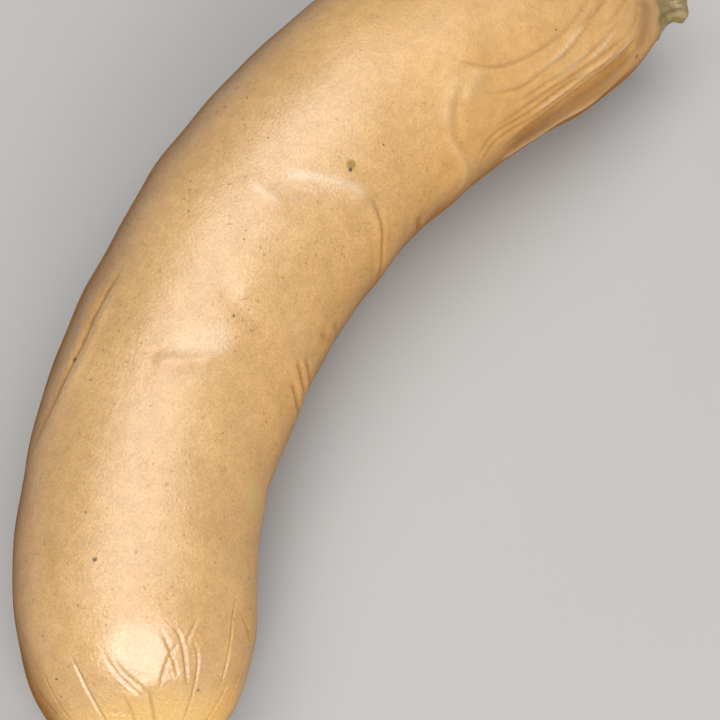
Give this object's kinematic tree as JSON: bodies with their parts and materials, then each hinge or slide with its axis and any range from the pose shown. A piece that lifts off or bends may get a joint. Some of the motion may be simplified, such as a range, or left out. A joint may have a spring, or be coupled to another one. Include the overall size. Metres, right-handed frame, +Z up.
{
  "type": "sausage link",
  "caption": "Single curved cooked sausage link in a tight natural casing, with pleated ends and twisted casing tails, lying on its side.",
  "frame": {"origin": "centre of the bounding box, on the surface that the sausage lies on", "axes": "+X from the plump end towards the long tapered end, +Y towards the outside of the bend, +Z up"},
  "size_m": [0.1374, 0.0492, 0.0329],
  "materials": {
    "casing": "moist satin, slightly translucent"
  },
  "bodies": {
    "root": {"sausage": "casing"}
  },
  "joints": []
}
